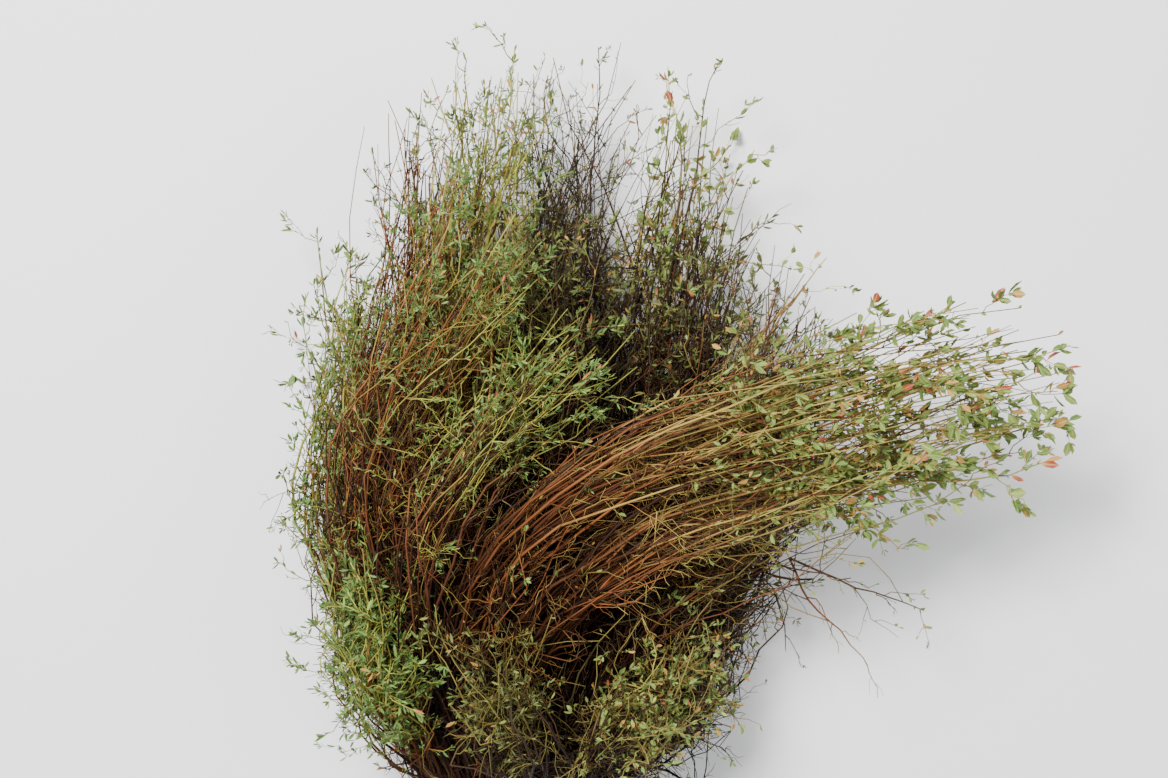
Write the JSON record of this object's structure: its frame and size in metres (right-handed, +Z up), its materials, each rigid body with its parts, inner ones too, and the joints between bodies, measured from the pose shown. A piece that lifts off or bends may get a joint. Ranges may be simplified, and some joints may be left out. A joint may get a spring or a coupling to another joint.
{
  "type": "bunch of cut euphorbia stems",
  "caption": "Loose tangled bunch of cut euphorbia stems with fine brown twigs and small green leaves, fanned out from stacked cut ends, lying on its back.",
  "frame": {"origin": "middle of the bounding box in X and Y, on the surface the bunch lies on", "axes": "+Z up from the surface, +Y from the cut ends towards the far tips, +X to the right seen from above"},
  "size_m": [0.6398, 0.7122, 0.2525],
  "materials": {
    "bark_chestnut": "matte",
    "bark_dark": "matte",
    "bark_orange": "matte",
    "leaf_fresh": "satin",
    "leaf_lime": "satin",
    "leaf_olive": "satin"
  },
  "bodies": {
    "root": {"arch_back_shoot_1": "leaf_lime", "arch_back_wood": "bark_dark", "centre_diagonal_shoot_1": "leaf_fresh", "centre_diagonal_shoot_2": "leaf_fresh", "centre_diagonal_wood": "bark_chestnut", "centre_shoot_1": "leaf_olive", "centre_shoot_2": "leaf_olive", "centre_wood": "bark_chestnut", "green_cushion_shoot_1": "leaf_fresh", "green_cushion_shoot_2": "leaf_fresh", "green_cushion_wood": "bark_orange", "inner_right_shoot_1": "leaf_olive", "inner_right_shoot_2": "leaf_olive", "inner_right_wood": "bark_chestnut", "left_back_shoot_1": "leaf_olive", "left_back_shoot_2": "leaf_olive", "left_back_wood": "bark_dark", "left_inner_shoot_2": "leaf_olive", "left_inner_wood": "bark_orange", "left_wall_shoot_1": "leaf_fresh", "left_wall_shoot_2": "leaf_fresh", "left_wall_wood": "bark_chestnut", "low_centre_shoot_1": "leaf_olive", "low_centre_shoot_2": "leaf_olive", "low_centre_wood": "bark_dark", "low_front_shoot_1": "leaf_lime", "low_front_shoot_2": "leaf_lime", "low_front_wood": "bark_dark", "low_left_shoot_1": "leaf_fresh", "low_left_shoot_2": "leaf_fresh", "low_left_wood": "bark_orange", "low_right_back_wood": "bark_dark", "low_right_shoot_1": "leaf_lime", "low_right_shoot_2": "leaf_lime", "low_right_wood": "bark_dark", "middle_back_shoot_1": "leaf_olive", "middle_back_shoot_2": "leaf_olive", "middle_back_wood": "bark_chestnut", "right_back_shoot_1": "leaf_olive", "right_back_wood": "bark_chestnut", "right_low_shoot_1": "leaf_lime", "right_low_wood": "bark_orange", "right_lower_shoot_1": "leaf_lime", "right_lower_shoot_2": "leaf_lime", "right_lower_wood": "bark_orange", "right_mid_shoot_1": "leaf_lime", "right_mid_shoot_2": "leaf_lime", "right_mid_wood": "bark_orange", "right_upper_shoot_1": "leaf_lime", "right_upper_shoot_2": "leaf_lime", "right_upper_wood": "bark_orange", "top_centre_shoot_1": "leaf_lime", "top_centre_shoot_2": "leaf_lime", "top_centre_wood": "bark_orange", "top_dark_wood": "bark_dark"}
  },
  "joints": []
}
